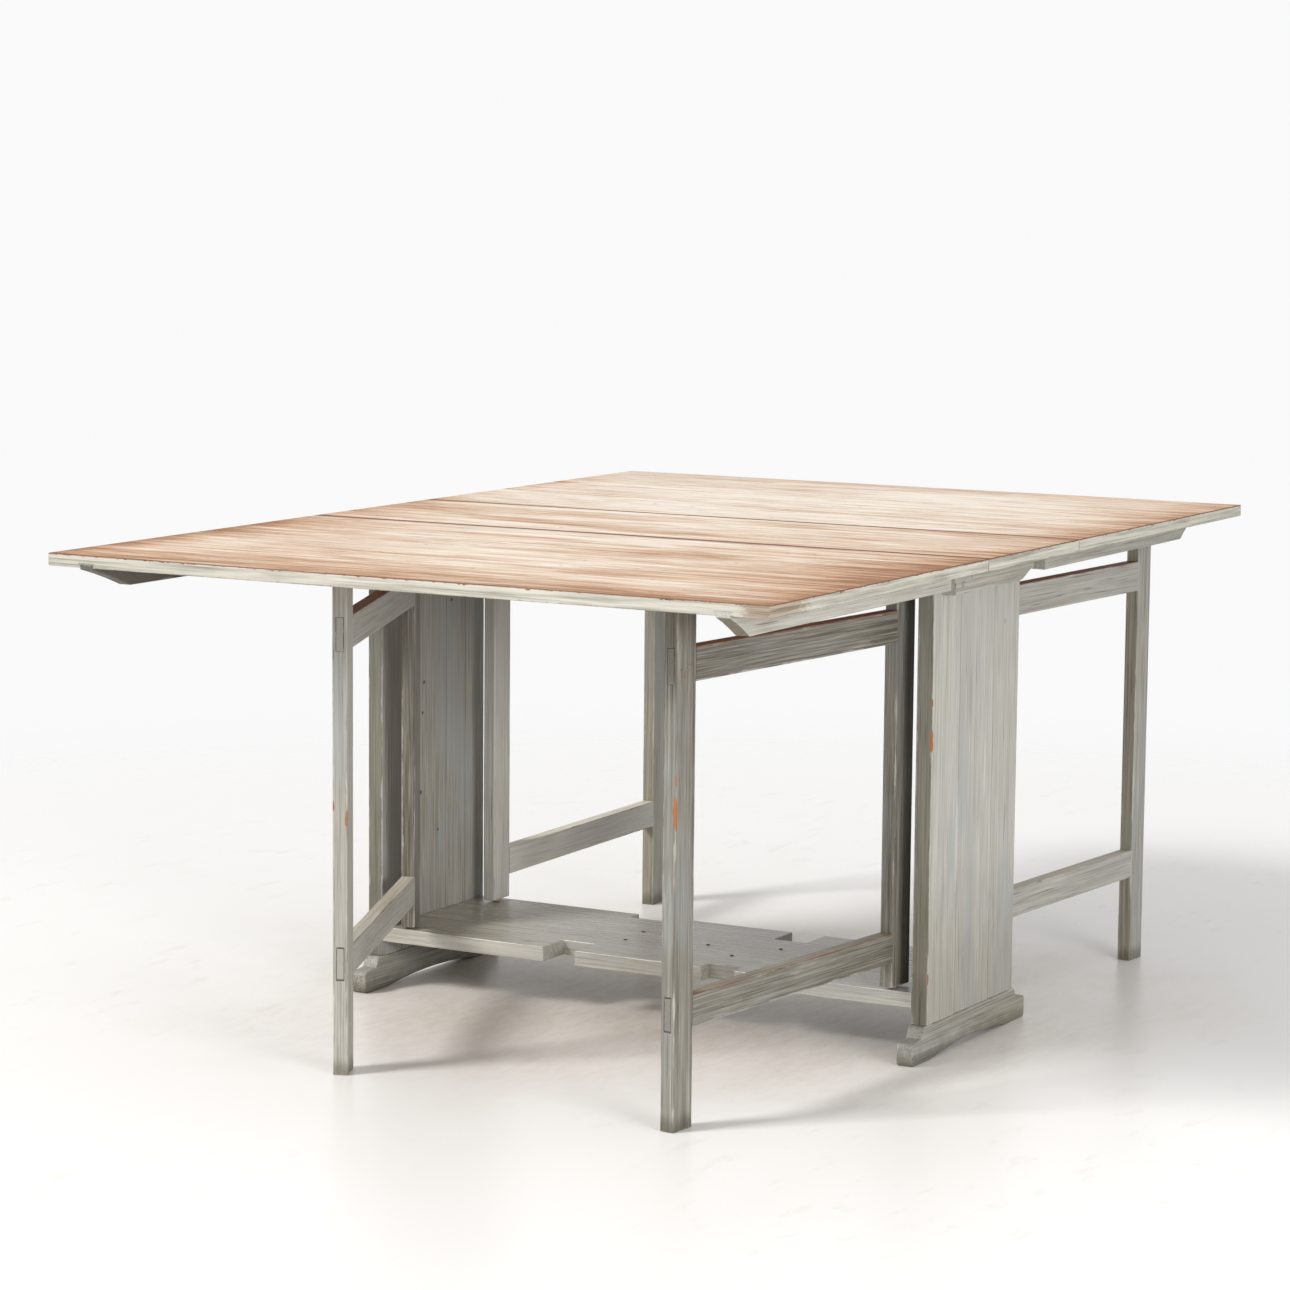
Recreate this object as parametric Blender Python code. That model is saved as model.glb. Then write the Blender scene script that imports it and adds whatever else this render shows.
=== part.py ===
"""Gateleg table: a narrow centre section on two boarded ends, two drop leaves, four swinging gates.

Frame: +X along the hinge lines towards the right end, +Y across the table towards the far leaf, +Z up,
origin on the floor under the middle of the top. Metres.
"""

import math

import bmesh
import bpy
from mathutils import Vector

# Overall sizes
TABLE_HEIGHT = 0.75
TOP_LENGTH = 1.16
CENTRE_WIDTH = 0.3275
LEAF_WIDTH = 0.679
BOARD_THICKNESS = 0.0185

# Clearances
TOUCH_GAP = 0.0003  # between pieces that rest on or are cut to each other
LEAF_GAP = 0.001  # open joint between the centre board and a leaf
PIVOT_GAP_BELOW = 0.004  # under a gate's stile
PIVOT_GAP_ABOVE = 0.0015  # over a gate's stile

# Ends: panel, foot, bearer and pivot cleat
END_OVERHANG = 0.0905  # from the panel's outer face to the end of the top
PANEL_THICKNESS = 0.026
PANEL_SETBACK = 0.01175  # from the centre board's long edge to the panel's edge
FOOT_HEIGHT = 0.0525
FOOT_PROJECTION = 0.0485  # of the toe beyond the panel's edge
FOOT_LEDGE = 0.008
TOE_HEIGHT = 0.0345
TOE_ROUND = 0.007
ARCH_MARGIN = 0.012  # from the panel's edge line in to the arch
ARCH_RISE = 0.0095
BEARER_THICKNESS = 0.0212
BEARER_DEPTH = 0.0425
BEARER_SHORT = 0.025  # how far the square end stops inside the panel's edge
BEARER_BEYOND = 0.003  # how far the shaped end passes the panel's other edge
OGEE_LENGTH = 0.053
OGEE_RISE = 0.0155
CLEAT_WIDTH = 0.0647
CLEAT_DEPTH = 0.0297
CLEAT_SETBACK = 0.002

# Shelf
SHELF_TOP = 0.100
SHELF_THICKNESS = 0.0235
SHELF_TENON = 0.010
SHELF_TENON_SHOULDER = 0.032
NOTCH_OFFSET = 0.139  # from the middle of the table to the middle of each notch
NOTCH_SIDE_CLEARANCE = 0.0055
DEEP_NOTCH_CLEARANCE = 0.0044  # behind the leg folded first
SHALLOW_NOTCH_CLEARANCE = 0.0084  # behind the leg folded second
FIRST_FOLD = math.radians(2.6)  # the first gate folds this far past parallel
SECOND_FOLD = math.radians(-1.2)  # the second stops this far short of it

# Gates
GATE_THICKNESS = 0.0215
LEG_WIDTH = 0.045
STILE_WIDTH = 0.050
STILE_FRONT = 0.0225  # from the pivot's axis to the face that takes the rails
STILE_BACK_ROUND = 0.003
PIVOT_FROM_PANEL = 0.0395
PIVOT_FROM_EDGE = 0.021
TOP_RAIL_DROP = 0.067  # from the underside of the top to the top rail
TOP_RAIL_HEIGHT = 0.048
BOTTOM_RAIL_LIFT = 0.041  # from the shelf to the bottom rail
BOTTOM_RAIL_HEIGHT = 0.0445
TENON_THICKNESS = 0.010
STILE_TENON = 0.030
PIN_RADIUS = 0.006
PIN_IN_STILE = 0.025
PIN_IN_FRAME = 0.018

# Leaf battens, each with a dovetailed back
BATTEN_THICKNESS = 0.022
BATTEN_DEPTH = 0.0315
BATTEN_FROM_END = 0.057  # from the end of the top to the batten's outer face
BATTEN_START = 0.0035  # from the hinge edge of the leaf
FAR_BATTEN_STOP = 0.0735  # from the far leaf's outer edge
NEAR_TAPER = {"left": 0.090, "right": 0.055}
FAR_TAPER = 0.050
TAPER_TIP = 0.002
TAPER_HOLLOW = 0.2  # how far the taper dips, as a share of the batten's depth
TAPER_STEPS = 3
DOVETAIL_NECK = 0.020
DOVETAIL_BACK = 0.028
DOVETAIL_DEPTH = 0.0065

# Hinges
HINGE_OFFSET = 0.36  # from the middle of the table
HINGE_LENGTH = 0.060
HINGE_PLATE_WIDTH = 0.034
HINGE_IRON = 0.0016
HINGE_PIN_RADIUS = 0.0016
ROLL_END = 345.0  # degrees, where the rolled edge stops short of its plate
ROLL_STEPS = 12

# Softened arrises
ARRIS = 0.0012
TOP_ARRIS = 0.0015
SHARP = math.radians(30)

# Where each gate stands open, as its lean from square towards the middle of the table
GATE_LEAN = {
    ("near", "right"): math.radians(5.9),
    ("near", "left"): math.radians(22.8),
    ("far", "right"): math.radians(-3.9),
    ("far", "left"): math.radians(-2.0),
}
SIDES = {"near": -1, "far": 1}
ENDS = {"left": -1, "right": 1}

# Worked out from the sizes above
UNDERSIDE = TABLE_HEIGHT - BOARD_THICKNESS
SEAT = UNDERSIDE - TOUCH_GAP
HINGE_LINE = CENTRE_WIDTH / 2 + LEAF_GAP / 2
LEAF_INNER = CENTRE_WIDTH / 2 + LEAF_GAP
LEAF_OUTER = LEAF_INNER + LEAF_WIDTH
PANEL_OUTER = TOP_LENGTH / 2 - END_OVERHANG
PANEL_INNER = PANEL_OUTER - PANEL_THICKNESS
PANEL_HALF = CENTRE_WIDTH / 2 - PANEL_SETBACK
PIVOT_X = PANEL_INNER - PIVOT_FROM_PANEL
PIVOT_Y = PANEL_HALF - PIVOT_FROM_EDGE
GATE_REACH = PIVOT_X + NOTCH_OFFSET  # from the pivot to the middle of the leg
CLEAT_BOTTOM = SEAT - CLEAT_DEPTH
STILE_BOTTOM = SHELF_TOP + PIVOT_GAP_BELOW
STILE_TOP = CLEAT_BOTTOM - PIVOT_GAP_ABOVE
TOP_RAIL_TOP = UNDERSIDE - TOP_RAIL_DROP
BOTTOM_RAIL_BOTTOM = SHELF_TOP + BOTTOM_RAIL_LIFT
BATTEN_X = TOP_LENGTH / 2 - BATTEN_FROM_END - BATTEN_THICKNESS / 2
KNUCKLE_BORE = HINGE_PIN_RADIUS + TOUCH_GAP
KNUCKLE_RADIUS = KNUCKLE_BORE + HINGE_IRON
HINGE_AXIS_Z = SEAT - KNUCKLE_RADIUS


def clear_scene():
    for old in list(bpy.data.objects):
        bpy.data.objects.remove(old)


def finish(name, colour, roughness, metallic=0.0):
    """A plain Principled material."""
    made = bpy.data.materials.new(name)
    made.use_nodes = True
    shader = made.node_tree.nodes["Principled BSDF"]
    shader.inputs["Base Color"].default_value = (*colour, 1.0)
    shader.inputs["Roughness"].default_value = roughness
    shader.inputs["Metallic"].default_value = metallic
    made.diffuse_color = (*colour, 1.0)
    return made


def piece_finish(name, kind):
    """Each piece has a material of its own, in one of the table's four finishes."""
    colour, roughness, metallic = {
        "scrubbed": ((0.62, 0.47, 0.36), 0.55, 0.0),
        "painted": ((0.48, 0.49, 0.46), 0.62, 0.0),
        "bare": ((0.42, 0.27, 0.16), 0.6, 0.0),
        "iron": ((0.08, 0.07, 0.065), 0.5, 0.9),
    }[kind]
    return finish(f"{name}_{kind}", colour, roughness, metallic)


def pivot_empty(name, place, turn=0.0):
    empty = bpy.data.objects.new(name, None)
    empty.location = place
    empty.rotation_euler = (0.0, 0.0, turn)
    bpy.context.scene.collection.objects.link(empty)
    return empty


def put(shape, name, parent=None, kind="painted"):
    """Turns a bmesh into a named object under its parent."""
    bmesh.ops.recalc_face_normals(shape, faces=shape.faces[:])
    mesh = bpy.data.meshes.new(name)
    shape.to_mesh(mesh)
    shape.free()
    mesh.shade_smooth()
    mesh.set_sharp_from_angle(angle=SHARP)
    made = bpy.data.objects.new(name, mesh)
    made.parent = parent
    bpy.context.scene.collection.objects.link(made)
    if kind == "cutter":
        made.hide_render = True
        made.display_type = "WIRE"
    else:
        mesh.materials.append(piece_finish(name, kind))
    return made


def cut(piece, cutter):
    step = piece.modifiers.new(cutter.name, "BOOLEAN")
    step.operation = "DIFFERENCE"
    step.solver = "EXACT"
    step.object = cutter


def soften(shape, width, chosen=lambda edge: True):
    """Rounds each outward arris that is sharp and chosen."""
    bmesh.ops.recalc_face_normals(shape, faces=shape.faces[:])
    arrises = [e for e in shape.edges if e.is_convex and e.calc_face_angle(0.0) > SHARP and chosen(e)]
    bmesh.ops.bevel(
        shape, geom=arrises, offset=width, offset_type="OFFSET", segments=2, profile=0.5,
        affect="EDGES", clamp_overlap=True,
    )


def box(low, high, arris=ARRIS):
    """A board between two corners, its arrises softened unless arris is 0."""
    shape = bmesh.new()
    bmesh.ops.create_cube(shape, size=1.0)
    low = Vector(low)
    high = Vector(high)
    size = high - low
    middle = (low + high) / 2
    for vertex in shape.verts:
        vertex.co = Vector(vertex.co[i] * size[i] + middle[i] for i in range(3))
    if arris:
        soften(shape, arris)
    return shape


def prism(outline, along, start, stop, arris=0.0):
    """An outline extruded along X (outline in Y, Z), along Y (in X, Z) or along Z (in X, Y)."""
    place = {
        "X": lambda u, v, w: (w, u, v),
        "Y": lambda u, v, w: (u, w, v),
        "Z": lambda u, v, w: (u, v, w),
    }[along]
    shape = bmesh.new()
    base = [shape.verts.new(place(u, v, start)) for u, v in outline]
    cap = shape.faces.new(base)
    grown = bmesh.ops.extrude_face_region(shape, geom=[cap])["geom"]
    shift = Vector(place(0.0, 0.0, stop - start))
    moved = [item for item in grown if isinstance(item, bmesh.types.BMVert)]
    bmesh.ops.translate(shape, verts=moved, vec=shift)
    if arris:
        soften(shape, arris)
    return shape


def rod(radius, start, stop, sides=16, along="Z"):
    """A round bar on the local axis."""
    ring = arc((0.0, 0.0), radius, 0.0, 360.0 * (sides - 1) / sides, sides - 1)
    return prism(ring, along, start, stop)


def arc(centre, radius, first, last, steps):
    """Points on an arc, in degrees from +u towards +v."""
    angles = [math.radians(first + (last - first) * i / steps) for i in range(steps + 1)]
    return [(centre[0] + radius * math.cos(a), centre[1] + radius * math.sin(a)) for a in angles]


def make_top():
    half = TOP_LENGTH / 2
    edge = CENTRE_WIDTH / 2
    board = box((-half, -edge, UNDERSIDE), (half, edge, TABLE_HEIGHT), TOP_ARRIS)
    put(board, "top_centre_board", kind="scrubbed")
    bottom = UNDERSIDE - HINGE_AXIS_Z
    top = TABLE_HEIGHT - HINGE_AXIS_Z
    for side, y in SIDES.items():
        hinge = pivot_empty(f"{side}_hinge_line", (0.0, y * HINGE_LINE, HINGE_AXIS_Z))
        low, high = mirrored(LEAF_INNER - HINGE_LINE, LEAF_OUTER - HINGE_LINE, y)
        board = box((-half, low, bottom), (half, high, top), TOP_ARRIS)
        leaf = put(board, f"leaf_{side}", hinge, "scrubbed")
        for end in ENDS:
            cut(leaf, dovetail_housing(side, end, hinge))
            make_batten(side, end, hinge)


def batten_reach(side):
    """Where a batten starts and stops, measured out from the hinge line."""
    stop = LEAF_OUTER if side == "near" else LEAF_OUTER - FAR_BATTEN_STOP
    return LEAF_INNER + BATTEN_START - HINGE_LINE, stop - HINGE_LINE


def dovetail_housing(side, end, hinge):
    """The tapered groove across the underside of a leaf, open at the hinge edge."""
    middle = ENDS[end] * BATTEN_X
    clear = BATTEN_START if side == "near" else TOUCH_GAP
    stop = batten_reach(side)[1] + clear
    start = LEAF_INNER - HINGE_LINE - BATTEN_START
    mouth = UNDERSIDE - HINGE_AXIS_Z
    flare = (DOVETAIL_BACK - DOVETAIL_NECK) / 2
    neck = DOVETAIL_NECK / 2 + TOUCH_GAP
    high = mouth + DOVETAIL_DEPTH + TOUCH_GAP
    half = [(neck - flare, mouth - DOVETAIL_DEPTH), (neck + flare, high)]
    groove = [(middle + u, v) for u, v in half] + [(middle - u, v) for u, v in reversed(half)]
    shape = prism(groove, "Y", SIDES[side] * start, SIDES[side] * stop)
    return put(shape, f"cut_dovetail_{side}_{end}", hinge, "cutter")


def make_batten(side, end, hinge):
    """Sections along the batten: full depth, then a hollow taper up to the leaf at its outer end."""
    y = SIDES[side]
    start, stop = batten_reach(side)
    taper = NEAR_TAPER[end] if side == "near" else FAR_TAPER
    seat = SEAT - HINGE_AXIS_Z
    full = BATTEN_DEPTH - TOUCH_GAP
    middle = ENDS[end] * BATTEN_X
    half = BATTEN_THICKNESS / 2
    back = UNDERSIDE + DOVETAIL_DEPTH - HINGE_AXIS_Z
    stations = [(start, full)]
    for step in range(TAPER_STEPS + 1):
        share = step / TAPER_STEPS
        hollowed = share + TAPER_HOLLOW * share * (1 - share)
        stations.append((stop - taper * (1 - share), full + (TAPER_TIP - full) * hollowed))
    shape = bmesh.new()
    rings = []
    for along, depth in stations:
        section = [
            (-half, seat - depth), (half, seat - depth), (half, seat),
            (DOVETAIL_NECK / 2, seat), (DOVETAIL_BACK / 2, back),
            (-DOVETAIL_BACK / 2, back), (-DOVETAIL_NECK / 2, seat), (-half, seat),
        ]
        rings.append([shape.verts.new((middle + u, y * along, v)) for u, v in section])
    for first, second in zip(rings, rings[1:]):
        for i in range(len(first)):
            j = (i + 1) % len(first)
            shape.faces.new((first[i], first[j], second[j], second[i]))
    shape.faces.new(rings[0])
    shape.faces.new(rings[-1])
    soften(shape, ARRIS, lambda edge: all(v.co.z < seat - TOUCH_GAP for v in edge.verts))
    put(shape, f"leaf_batten_{side}_{end}", hinge)


def foot_outline():
    """Side view of a foot, in Y and Z: a low arch between two pads, and a stepped round toe."""
    toe = PANEL_HALF + FOOT_PROJECTION
    arch = PANEL_HALF - ARCH_MARGIN
    ledge = PANEL_HALF + FOOT_LEDGE
    shoulder = FOOT_HEIGHT - TOE_HEIGHT
    half = [(arch, 0.0)]
    half += arc((toe - TOE_ROUND, TOE_ROUND), TOE_ROUND, -90.0, 0.0, 4)
    half += arc((toe - TOE_ROUND, TOE_HEIGHT - TOE_ROUND), TOE_ROUND, 0.0, 90.0, 4)
    half += [(ledge + shoulder / 2, TOE_HEIGHT + shoulder / 8)]
    half += [(ledge + shoulder / 5, FOOT_HEIGHT - shoulder / 5)]
    half += [(ledge, FOOT_HEIGHT)]
    top = half + [(-u, v) for u, v in reversed(half)]
    steps = 12
    spans = [-arch + 2 * arch * i / steps for i in range(1, steps)]
    under = [(u, ARCH_RISE * (1 - (u / arch) ** 2)) for u in spans]
    return top + under


def bearer_outline():
    """Side view of a bearer: a square end and an ogee end, which passes the panel's edge."""
    bottom = SEAT - BEARER_DEPTH
    tip = PANEL_HALF + BEARER_BEYOND
    rise_start = tip - OGEE_LENGTH
    steps = 8
    ogee = []
    for i in range(steps + 1):
        share = i / steps
        lift = 0.5 - 0.5 * math.cos(math.pi * share)
        ogee.append((rise_start + OGEE_LENGTH * share, bottom + OGEE_RISE * lift))
    square_end = BEARER_SHORT - PANEL_HALF
    return [(square_end, bottom), *ogee, (tip, SEAT), (square_end, SEAT)]


def mirrored(low, high, sign):
    """A span on the +X side, or its mirror image."""
    return (low, high) if sign > 0 else (-high, -low)


def make_end(end, x):
    first, last = mirrored(PANEL_INNER, PANEL_OUTER, x)
    panel = put(
        box((first, -PANEL_HALF, FOOT_HEIGHT + TOUCH_GAP), (last, PANEL_HALF, SEAT)),
        f"end_panel_{end}",
    )
    cut(panel, shelf_pocket(end, x))
    put(prism(foot_outline(), "X", first, last, ARRIS), f"foot_{end}")
    low, high = mirrored(PANEL_OUTER + TOUCH_GAP, PANEL_OUTER + TOUCH_GAP + BEARER_THICKNESS, x)
    outline = [(x * u, v) for u, v in bearer_outline()]  # turned half round at the left end
    put(prism(outline, "X", low, high, ARRIS), f"bearer_{end}")
    low, high = mirrored(PANEL_INNER - TOUCH_GAP - CLEAT_WIDTH, PANEL_INNER - TOUCH_GAP, x)
    reach = PANEL_HALF - CLEAT_SETBACK
    return put(box((low, -reach, CLEAT_BOTTOM), (high, reach, SEAT)), f"pivot_cleat_{end}")


def shelf_pocket(end, x):
    """The blind mortise for the shelf's tenon."""
    low, high = mirrored(PANEL_INNER - SHELF_TENON, PANEL_INNER + SHELF_TENON + TOUCH_GAP, x)
    half = PANEL_HALF - SHELF_TENON_SHOULDER + TOUCH_GAP
    bottom = SHELF_TOP - SHELF_THICKNESS - TOUCH_GAP
    shape = box((low, -half, bottom), (high, half, SHELF_TOP + TOUCH_GAP), 0.0)
    return put(shape, f"cut_shelf_pocket_{end}", kind="cutter")


def notch_depth(first):
    """From the shelf's edge to the back of the notch that takes a folded leg."""
    fold = FIRST_FOLD if first else SECOND_FOLD
    clearance = DEEP_NOTCH_CLEARANCE if first else SHALLOW_NOTCH_CLEARANCE
    leg = PIVOT_Y - GATE_REACH * math.sin(fold)
    leg_back = leg - GATE_THICKNESS / 2 * math.cos(fold) - LEG_WIDTH / 2 * abs(math.sin(fold))
    return PANEL_HALF - leg_back + clearance


def shelf_outline():
    """Plan of the shelf: a tenon at each end and two notches in each long edge."""
    end = PANEL_INNER - TOUCH_GAP
    tenon = PANEL_INNER + SHELF_TENON
    shoulder = PANEL_HALF - SHELF_TENON_SHOULDER
    low = NOTCH_OFFSET - LEG_WIDTH / 2 - NOTCH_SIDE_CLEARANCE
    high = NOTCH_OFFSET + LEG_WIDTH / 2 + NOTCH_SIDE_CLEARANCE
    deep = PANEL_HALF - notch_depth(True)
    shallow = PANEL_HALF - notch_depth(False)
    edge = PANEL_HALF
    near = [(-end, -edge), (-high, -edge), (-high, -deep), (-low, -deep), (-low, -edge)]
    near += [(low, -edge), (low, -shallow), (high, -shallow), (high, -edge), (end, -edge)]
    side = [(end, -shoulder), (tenon, -shoulder), (tenon, shoulder), (end, shoulder)]
    half = near + side
    return half + [(-u, -v) for u, v in half]


def make_shelf():
    return put(prism(shelf_outline(), "Z", SHELF_TOP - SHELF_THICKNESS, SHELF_TOP, ARRIS), "shelf")


def gate_direction(side, end):
    """Angle about +Z of the line from a gate's pivot to its leg."""
    lean = GATE_LEAN[side, end]
    return math.atan2(SIDES[side] * math.cos(lean), -ENDS[end] * math.sin(lean))


def stile_outline():
    """Plan of a pivot stile, its back arrises rounded so that it turns beside the panel."""
    back = STILE_FRONT - STILE_WIDTH + STILE_BACK_ROUND
    half = GATE_THICKNESS / 2
    side = half - STILE_BACK_ROUND
    front = [(STILE_FRONT, -half), (STILE_FRONT, half)]
    upper = arc((back, side), STILE_BACK_ROUND, 90.0, 180.0, 4)
    lower = arc((back, -side), STILE_BACK_ROUND, 180.0, 270.0, 4)
    return front + upper + lower


def rail_outline():
    """Plan of a rail: a stub tenon for the stile, the rail, and a through tenon for the leg."""
    half = GATE_THICKNESS / 2
    thin = TENON_THICKNESS / 2
    first = STILE_FRONT + TOUCH_GAP
    last = GATE_REACH - LEG_WIDTH / 2 - TOUCH_GAP
    stub = STILE_FRONT - STILE_TENON
    through = GATE_REACH + LEG_WIDTH / 2
    side = [(stub, -thin), (first, -thin), (first, -half)]
    side += [(last, -half), (last, -thin), (through, -thin)]
    return side + [(u, -v) for u, v in reversed(side)]


def make_gate(side, end, shelf, cleat):
    x, y = ENDS[end], SIDES[side]
    name = f"gate_{side}_{end}"
    pivot = pivot_empty(f"{name}_pivot", (x * PIVOT_X, y * PIVOT_Y, 0.0), gate_direction(side, end))
    half = GATE_THICKNESS / 2
    leg = put(
        box((GATE_REACH - LEG_WIDTH / 2, -half, 0.0), (GATE_REACH + LEG_WIDTH / 2, half, SEAT)),
        f"{name}_leg", pivot,
    )
    stile = put(prism(stile_outline(), "Z", STILE_BOTTOM, STILE_TOP, ARRIS), f"{name}_stile", pivot)
    rails = {
        "top": (TOP_RAIL_TOP - TOP_RAIL_HEIGHT, TOP_RAIL_TOP),
        "bottom": (BOTTOM_RAIL_BOTTOM, BOTTOM_RAIL_BOTTOM + BOTTOM_RAIL_HEIGHT),
    }
    for level, (low, high) in rails.items():
        put(rail_shape(low, high), f"{name}_{level}_rail", pivot)
        mortise = mortise_cutter(low, high, f"cut_{name}_{level}_mortise", pivot)
        cut(leg, mortise)
        cut(stile, mortise)
    pins = {
        "lower": (SHELF_TOP - PIN_IN_FRAME, STILE_BOTTOM + PIN_IN_STILE, shelf),
        "upper": (STILE_TOP - PIN_IN_STILE, CLEAT_BOTTOM + PIN_IN_FRAME, cleat),
    }
    for level, (low, high, holder) in pins.items():
        put(rod(PIN_RADIUS, low, high), f"{name}_{level}_pin", pivot, "bare")
        bore = put(
            rod(PIN_RADIUS + TOUCH_GAP, low - TOUCH_GAP, high + TOUCH_GAP),
            f"cut_{name}_{level}_bore", pivot, "cutter",
        )
        cut(stile, bore)
        cut(holder, bore)


def rail_shape(low, high):
    """A rail whose long arrises are softened between its shoulders."""
    shape = prism(rail_outline(), "Z", low, high)
    face = GATE_THICKNESS / 2 - TOUCH_GAP
    soften(shape, ARRIS, lambda e: level(e) and all(abs(v.co.y) > face for v in e.verts))
    return shape


def level(edge):
    first, second = edge.verts
    return abs(first.co.z - second.co.z) < TOUCH_GAP


def mortise_cutter(low, high, name, pivot):
    """One bar that clears a rail's two tenons."""
    thin = TENON_THICKNESS / 2 + TOUCH_GAP
    stub = STILE_FRONT - STILE_TENON - TOUCH_GAP
    beyond = GATE_REACH + LEG_WIDTH
    shape = box((stub, -thin, low - TOUCH_GAP), (beyond, thin, high + TOUCH_GAP), 0.0)
    return put(shape, name, pivot, "cutter")


def rolled_strap(y):
    """Section of a hinge plate whose edge is rolled round the pin, in Y and Z from the pin's axis."""
    outer = arc((0.0, 0.0), KNUCKLE_RADIUS, 90.0, ROLL_END, ROLL_STEPS)
    inner = arc((0.0, 0.0), KNUCKLE_BORE, ROLL_END, 90.0, ROLL_STEPS)
    outline = [(HINGE_PLATE_WIDTH, KNUCKLE_RADIUS), *outer, *inner, (HINGE_PLATE_WIDTH, KNUCKLE_BORE)]
    return [(y * u, v) for u, v in outline]


def knuckle_gap(name, low, high, y, hinge):
    """Room for the other plate's knuckle."""
    reach = KNUCKLE_RADIUS + TOUCH_GAP
    first, last = mirrored(-2 * reach, reach, y)
    shape = box((low, first, -2 * reach), (high, last, 2 * reach), 0.0)
    return put(shape, name, hinge, "cutter")


def make_hinges():
    third = HINGE_LENGTH / 6
    half = HINGE_LENGTH / 2
    for side, y in SIDES.items():
        for end, x in ENDS.items():
            name = f"hinge_{side}_{end}"
            axis = pivot_empty(f"{name}_axis", (x * HINGE_OFFSET, y * HINGE_LINE, HINGE_AXIS_Z))
            fixed = put(prism(rolled_strap(-y), "X", -half, half), f"{name}_frame_plate", axis, "iron")
            swung = put(prism(rolled_strap(y), "X", -half, half), f"{name}_leaf_plate", axis, "iron")
            middle = third + TOUCH_GAP / 2
            outer = third - TOUCH_GAP / 2
            cut(fixed, knuckle_gap(f"cut_{name}_middle", -middle, middle, -y, axis))
            cut(swung, knuckle_gap(f"cut_{name}_first", -half - third, -outer, y, axis))
            cut(swung, knuckle_gap(f"cut_{name}_last", outer, half + third, y, axis))
            put(rod(HINGE_PIN_RADIUS, -half, half, 12, "X"), f"{name}_pin", axis, "iron")


def main():
    clear_scene()
    make_top()
    cleats = {end: make_end(end, x) for end, x in ENDS.items()}
    shelf = make_shelf()
    for side in SIDES:
        for end in ENDS:
            make_gate(side, end, shelf, cleats[end])
    make_hinges()


main()
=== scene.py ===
"""Looks and stage for a painted pine gateleg table, set out as an add-on and run as a script.

The shapes come with the frame: this file gives each of them its finish, adds nails, pegs and screws,
and sets the stage. Sizes are metres, +X along the hinge lines, +Y towards the far leaf, +Z up.
"""

import math

import bpy
from mathutils import Matrix, Vector


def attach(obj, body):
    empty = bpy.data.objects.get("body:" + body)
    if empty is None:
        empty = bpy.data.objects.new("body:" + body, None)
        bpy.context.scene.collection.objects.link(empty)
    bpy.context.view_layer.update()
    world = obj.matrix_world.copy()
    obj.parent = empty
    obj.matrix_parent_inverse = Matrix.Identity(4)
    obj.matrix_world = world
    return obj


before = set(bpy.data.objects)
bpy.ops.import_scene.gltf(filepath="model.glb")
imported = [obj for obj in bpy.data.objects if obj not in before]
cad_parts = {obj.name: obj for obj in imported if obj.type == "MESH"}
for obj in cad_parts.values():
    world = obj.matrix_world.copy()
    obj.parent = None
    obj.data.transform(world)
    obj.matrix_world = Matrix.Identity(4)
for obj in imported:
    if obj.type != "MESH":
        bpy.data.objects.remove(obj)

bl_info = {
    "name": "Gateleg Table",
    "version": (1, 0, 0),
    "blender": (4, 5, 0),
    "location": "3D View > Sidebar > Gateleg Table",
    "description": "Scrubbed top, worn grey paint, ironwork and stage of a pine gateleg table",
    "category": "Object",
}

ALONG_X, ALONG_Y, ALONG_Z = 0, 1, 2
TABLE_HEIGHT = 0.75
JOINT_REACH = 0.170  # from the middle of the table to just past a joint of the top
PALE_PAINT = (0.66, 0.65, 0.60)


# ---------------------------------------------------------------- settings


def colour_setting(name, description, value):
    return bpy.props.FloatVectorProperty(
        name=name, description=description, subtype="COLOR", size=3, min=0, max=1, default=value
    )


class PaintSettings(bpy.types.PropertyGroup):
    """Worn grey paint of the underframe."""

    pale: colour_setting("Pale", "Thick, rubbed paint", (0.52, 0.505, 0.455))
    middle: colour_setting("Middle", "Paint at its usual thickness", (0.375, 0.36, 0.32))
    dark: colour_setting("Dark", "Paint worn down in the grain", (0.235, 0.222, 0.188))
    deep: colour_setting("Deep", "Bottom of the grain", (0.095, 0.082, 0.062))
    cool: colour_setting("Cool", "Blue-grey patches", (0.335, 0.36, 0.365))
    olive: colour_setting("Olive", "Yellowed patches", (0.27, 0.245, 0.175))
    chip: colour_setting("Chip", "Red primer and wood under a chip", (0.25, 0.085, 0.03))
    edge: colour_setting("Edge", "Wood on a rubbed arris", (0.20, 0.125, 0.075))
    gloss: bpy.props.FloatProperty(
        name="Roughness",
        description="Roughness of sound paint",
        default=0.5,
        min=0.1,
        max=1,
        subtype="FACTOR",
    )
    grain: bpy.props.FloatProperty(
        name="Grain Height",
        description="Relief of the grain",
        default=0.0005,
        min=0,
        max=0.003,
        unit="LENGTH",
    )


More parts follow.
